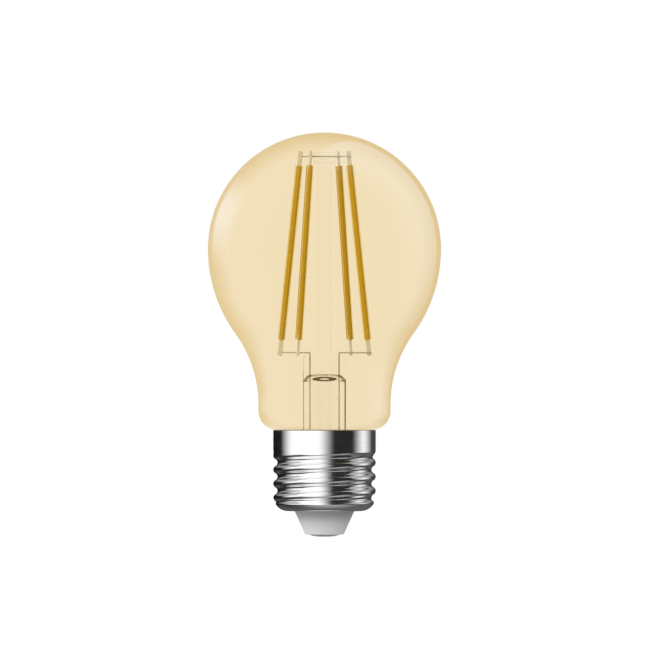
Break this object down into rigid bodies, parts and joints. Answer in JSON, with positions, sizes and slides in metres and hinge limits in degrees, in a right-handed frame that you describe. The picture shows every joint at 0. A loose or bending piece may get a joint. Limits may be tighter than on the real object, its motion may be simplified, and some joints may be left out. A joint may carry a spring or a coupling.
{
  "type": "smart light bulb",
  "caption": "Pear-shaped amber glass lamp with upright LED filaments on a glass stem, an E27 screw cap, and a driver and radio sealed inside the cap.",
  "frame": {"origin": "tip of the centre contact, on the lamp axis", "axes": "+Z along the lamp axis from the cap towards the crown of the glass; +X to the right and +Y away when the lamp is seen from the front"},
  "size_m": [0.06, 0.06, 0.104],
  "materials": {
    "amber_glass": "pale amber tint, polished, clear",
    "antenna_copper": "gold-flashed copper",
    "black_epoxy": "moulded epoxy",
    "board_laminate": "solder mask, satin",
    "cap_cement": "matte, cast",
    "capacitor_sleeve": "shrunk sleeve over aluminium",
    "ceramic_chips": "fired ceramic",
    "clear_glass": "clear, polished",
    "contact_metal": "dull grey, turned",
    "dumet_wire": "copper-clad wire, dull red",
    "enamelled_copper": "varnished copper",
    "ferrite": "matte ferrite",
    "filament_substrate": "translucent white",
    "filament_tabs": "plain metal tab",
    "insulator_plastic": "light grey, moulded, satin",
    "led_chips": "pale, glossy",
    "nickel_wire": "drawn wire, slightly dull",
    "phosphor_coat": "deep amber silicone with phosphor, satin, slightly translucent",
    "resistor_enamel": "lacquered",
    "shell_plating": "bright nickel plating, faint drawing marks",
    "shield_can": "stamped tin plate",
    "sleeve_rubber": "woven sleeving, matte",
    "solder": "bright, smooth",
    "tinned_copper": "tinned"
  },
  "bodies": {
    "root": {"bridge_rectifier": "black_epoxy", "cap_cement": "cap_cement", "cap_insulator": "insulator_plastic", "centre_contact": "contact_metal", "driver_board": "board_laminate", "dumet_seal_left": "dumet_wire", "dumet_seal_right": "dumet_wire", "electrolytic_capacitor": "capacitor_sleeve", "exhaust_tube": "clear_glass", "filament_1_chips": "led_chips", "filament_1_coat": "phosphor_coat", "filament_1_lower_tab": "filament_tabs", "filament_1_strip": "filament_substrate", "filament_1_upper_tab": "filament_tabs", "filament_2_chips": "led_chips", "filament_2_coat": "phosphor_coat", "filament_2_lower_tab": "filament_tabs", "filament_2_strip": "filament_substrate", "filament_2_upper_tab": "filament_tabs", "filament_3_chips": "led_chips", "filament_3_coat": "phosphor_coat", "filament_3_lower_tab": "filament_tabs", "filament_3_strip": "filament_substrate", "filament_3_upper_tab": "filament_tabs", "filament_4_chips": "led_chips", "filament_4_coat": "phosphor_coat", "filament_4_lower_tab": "filament_tabs", "filament_4_strip": "filament_substrate", "filament_4_upper_tab": "filament_tabs", "fusible_resistor": "resistor_enamel", "glass_envelope": "amber_glass", "header_pins": "tinned_copper", "inductor_core": "ferrite", "inductor_winding": "enamelled_copper", "inner_lead_left": "nickel_wire", "inner_lead_right": "nickel_wire", "jumper_left": "nickel_wire", "jumper_right": "nickel_wire", "led_driver_chip": "black_epoxy", "live_wire": "tinned_copper", "live_wire_sleeve": "sleeve_rubber", "neutral_solder": "solder", "neutral_wire": "tinned_copper", "outer_lead_left": "nickel_wire", "outer_lead_right": "nickel_wire", "pcb_antenna": "antenna_copper", "radio_board": "board_laminate", "radio_chip": "black_epoxy", "radio_shield": "shield_can", "screw_shell": "shell_plating", "small_components": "ceramic_chips", "solder_joints": "solder", "stem_flare": "clear_glass", "stem_press": "clear_glass", "support_post": "clear_glass", "top_bead": "clear_glass", "top_wire_dipped": "nickel_wire", "top_wire_straight": "nickel_wire"}
  },
  "joints": []
}
